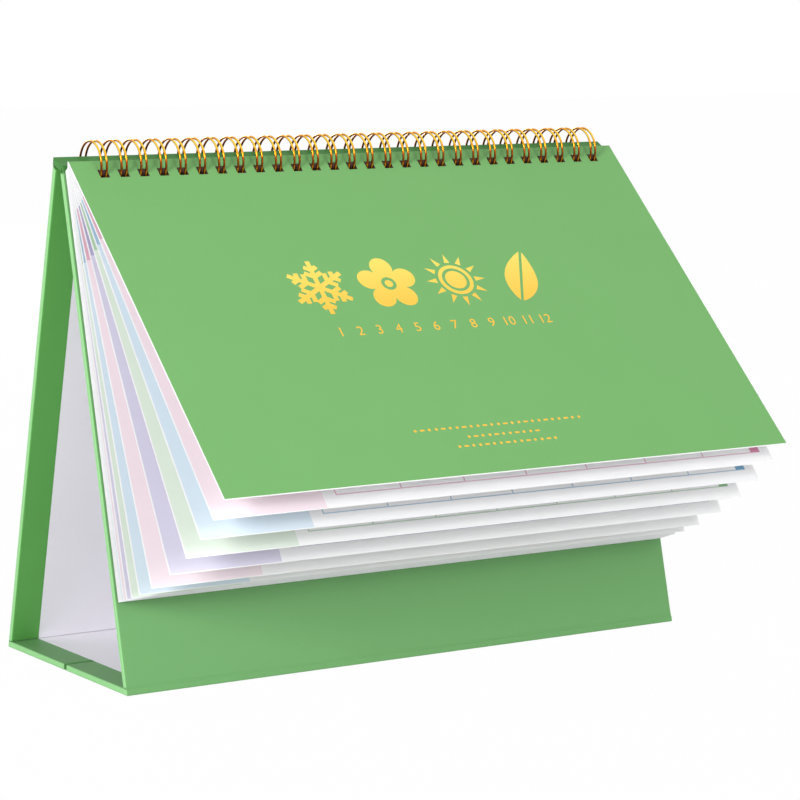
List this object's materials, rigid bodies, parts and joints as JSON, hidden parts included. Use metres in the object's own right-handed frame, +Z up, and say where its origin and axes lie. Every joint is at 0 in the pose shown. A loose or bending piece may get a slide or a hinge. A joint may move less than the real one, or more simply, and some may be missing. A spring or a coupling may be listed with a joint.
{
  "type": "desk_calendar_easel",
  "caption": "Desk calendar on a wrapped-board easel: green covering paper, fanned pastel month pages on a gold twin-loop wire, folding base with a centre crease.",
  "frame": {"origin": "on the table, under the middle of the rear half of the base", "axes": "+X along the ridge to the right seen from the front, +Y to the back, +Z up"},
  "size_m": [0.256, 0.1778, 0.2051],
  "materials": {
    "wrap_paper": "smooth matt covering paper over board, mid green",
    "greyboard": "raw grey board, hidden by its covering",
    "lining_paper": "pale lavender grey lining paper, matt",
    "gold_wire": "bright gold coated binding wire",
    "cover_paper": "smooth green card with gold foil shapes",
    "leaf_pink": "white page printed in pale pink",
    "leaf_blue": "white page printed in pale blue",
    "leaf_green": "white page printed in pale green",
    "leaf_purple": "white page printed in pale purple"
  },
  "bodies": {
    "base_rear": {"base_back_wrap": "wrap_paper", "base_back_board": "greyboard", "base_back_lining": "lining_paper"},
    "base_fore": {"base_front_wrap": "wrap_paper", "base_front_board": "greyboard", "base_front_lining": "lining_paper"},
    "rear_panel": {"back_wrap": "wrap_paper", "back_board": "greyboard", "back_lining": "lining_paper"},
    "ridge_strip": {"ridge_wrap": "wrap_paper", "ridge_board": "greyboard", "ridge_lining": "lining_paper"},
    "front_panel": {"front_wrap": "wrap_paper", "front_board": "greyboard", "front_lining": "lining_paper", "binding_wire": "gold_wire"},
    "pad": {"leaf_end": "leaf_pink"},
    "page_cover": {"leaf_cover": "cover_paper"},
    "page_january": {"leaf_january": "leaf_pink"},
    "page_february": {"leaf_february": "leaf_blue"},
    "page_march": {"leaf_march": "leaf_green"},
    "page_april": {"leaf_april": "leaf_purple"},
    "page_may": {"leaf_may": "leaf_pink"},
    "page_june": {"leaf_june": "leaf_blue"},
    "page_july": {"leaf_july": "leaf_green"},
    "page_august": {"leaf_august": "leaf_purple"},
    "page_september": {"leaf_september": "leaf_pink"},
    "page_october": {"leaf_october": "leaf_blue"},
    "page_november": {"leaf_november": "leaf_green"},
    "page_december": {"leaf_december": "leaf_purple"}
  },
  "joints": [
    {"name": "easel_fold", "type": "hinge", "parent": "base_rear", "child": "rear_panel", "pos_m": [0, 0.026, 0], "axis": [-1, 0, 0], "range_deg": [0, 103]},
    {"name": "rear_ridge_crease", "type": "hinge", "parent": "rear_panel", "child": "ridge_strip", "pos_m": [0, -0.02225, 0.1982], "axis": [1, 0, 0], "range_deg": [0, 13.76]},
    {"name": "front_ridge_crease", "type": "hinge", "parent": "ridge_strip", "child": "front_panel", "pos_m": [0, -0.02975, 0.1954], "axis": [1, 0, 0], "range_deg": [0, 13.76]},
    {"name": "base_crease", "type": "hinge", "parent": "base_rear", "child": "base_fore", "pos_m": [0, -0.026, 0.0026], "axis": [-1, 0, 0], "range_deg": [0, 177.25]},
    {"name": "pad_turn", "type": "hinge", "parent": "front_panel", "child": "pad", "pos_m": [0, -0.0287, 0.19545], "axis": [-1, 0, 0], "range_deg": [0, 125]},
    {"name": "cover_fan", "type": "hinge", "parent": "pad", "child": "page_cover", "pos_m": [0, -0.0287, 0.19545], "axis": [-1, 0, 0], "range_deg": [-32.77, 0]},
    {"name": "january_fan", "type": "hinge", "parent": "pad", "child": "page_january", "pos_m": [0, -0.0287, 0.19545], "axis": [-1, 0, 0], "range_deg": [-28.87, 0]},
    {"name": "february_fan", "type": "hinge", "parent": "pad", "child": "page_february", "pos_m": [0, -0.0287, 0.19545], "axis": [-1, 0, 0], "range_deg": [-24.57, 0]},
    {"name": "march_fan", "type": "hinge", "parent": "pad", "child": "page_march", "pos_m": [0, -0.0287, 0.19545], "axis": [-1, 0, 0], "range_deg": [-19.87, 0]},
    {"name": "april_fan", "type": "hinge", "parent": "pad", "child": "page_april", "pos_m": [0, -0.0287, 0.19545], "axis": [-1, 0, 0], "range_deg": [-14.77, 0]},
    {"name": "may_fan", "type": "hinge", "parent": "pad", "child": "page_may", "pos_m": [0, -0.0287, 0.19545], "axis": [-1, 0, 0], "range_deg": [-9.27, 0]},
    {"name": "june_fan", "type": "hinge", "parent": "pad", "child": "page_june", "pos_m": [0, -0.0287, 0.19545], "axis": [-1, 0, 0], "range_deg": [-5.67, 0]},
    {"name": "july_fan", "type": "hinge", "parent": "pad", "child": "page_july", "pos_m": [0, -0.0287, 0.19545], "axis": [-1, 0, 0], "range_deg": [-3.43, 0]},
    {"name": "august_fan", "type": "hinge", "parent": "pad", "child": "page_august", "pos_m": [0, -0.0287, 0.19545], "axis": [-1, 0, 0], "range_deg": [-2.05, 0]},
    {"name": "september_fan", "type": "hinge", "parent": "pad", "child": "page_september", "pos_m": [0, -0.0287, 0.19545], "axis": [-1, 0, 0], "range_deg": [-1.19, 0]},
    {"name": "october_fan", "type": "hinge", "parent": "pad", "child": "page_october", "pos_m": [0, -0.0287, 0.19545], "axis": [-1, 0, 0], "range_deg": [-0.6611, 0]},
    {"name": "november_fan", "type": "hinge", "parent": "pad", "child": "page_november", "pos_m": [0, -0.0287, 0.19545], "axis": [-1, 0, 0], "range_deg": [-0.3313, 0]},
    {"name": "december_fan", "type": "hinge", "parent": "pad", "child": "page_december", "pos_m": [0, -0.0287, 0.19545], "axis": [-1, 0, 0], "range_deg": [-0.1268, 0]}
  ],
  "couplings": [
    {"joint": "rear_ridge_crease", "follows": "easel_fold", "ratio": 0.13359},
    {"joint": "front_ridge_crease", "follows": "easel_fold", "ratio": 0.13359},
    {"joint": "base_crease", "follows": "easel_fold", "ratio": 1.7209},
    {"joint": "january_fan", "follows": "cover_fan", "ratio": 0.88098},
    {"joint": "february_fan", "follows": "cover_fan", "ratio": 0.74975},
    {"joint": "march_fan", "follows": "cover_fan", "ratio": 0.60631},
    {"joint": "april_fan", "follows": "cover_fan", "ratio": 0.45066},
    {"joint": "may_fan", "follows": "cover_fan", "ratio": 0.28281},
    {"joint": "june_fan", "follows": "cover_fan", "ratio": 0.17294},
    {"joint": "july_fan", "follows": "cover_fan", "ratio": 0.10483},
    {"joint": "august_fan", "follows": "cover_fan", "ratio": 0.062594},
    {"joint": "september_fan", "follows": "cover_fan", "ratio": 0.036409},
    {"joint": "october_fan", "follows": "cover_fan", "ratio": 0.020175},
    {"joint": "november_fan", "follows": "cover_fan", "ratio": 0.01011},
    {"joint": "december_fan", "follows": "cover_fan", "ratio": 0.003869}
  ]
}
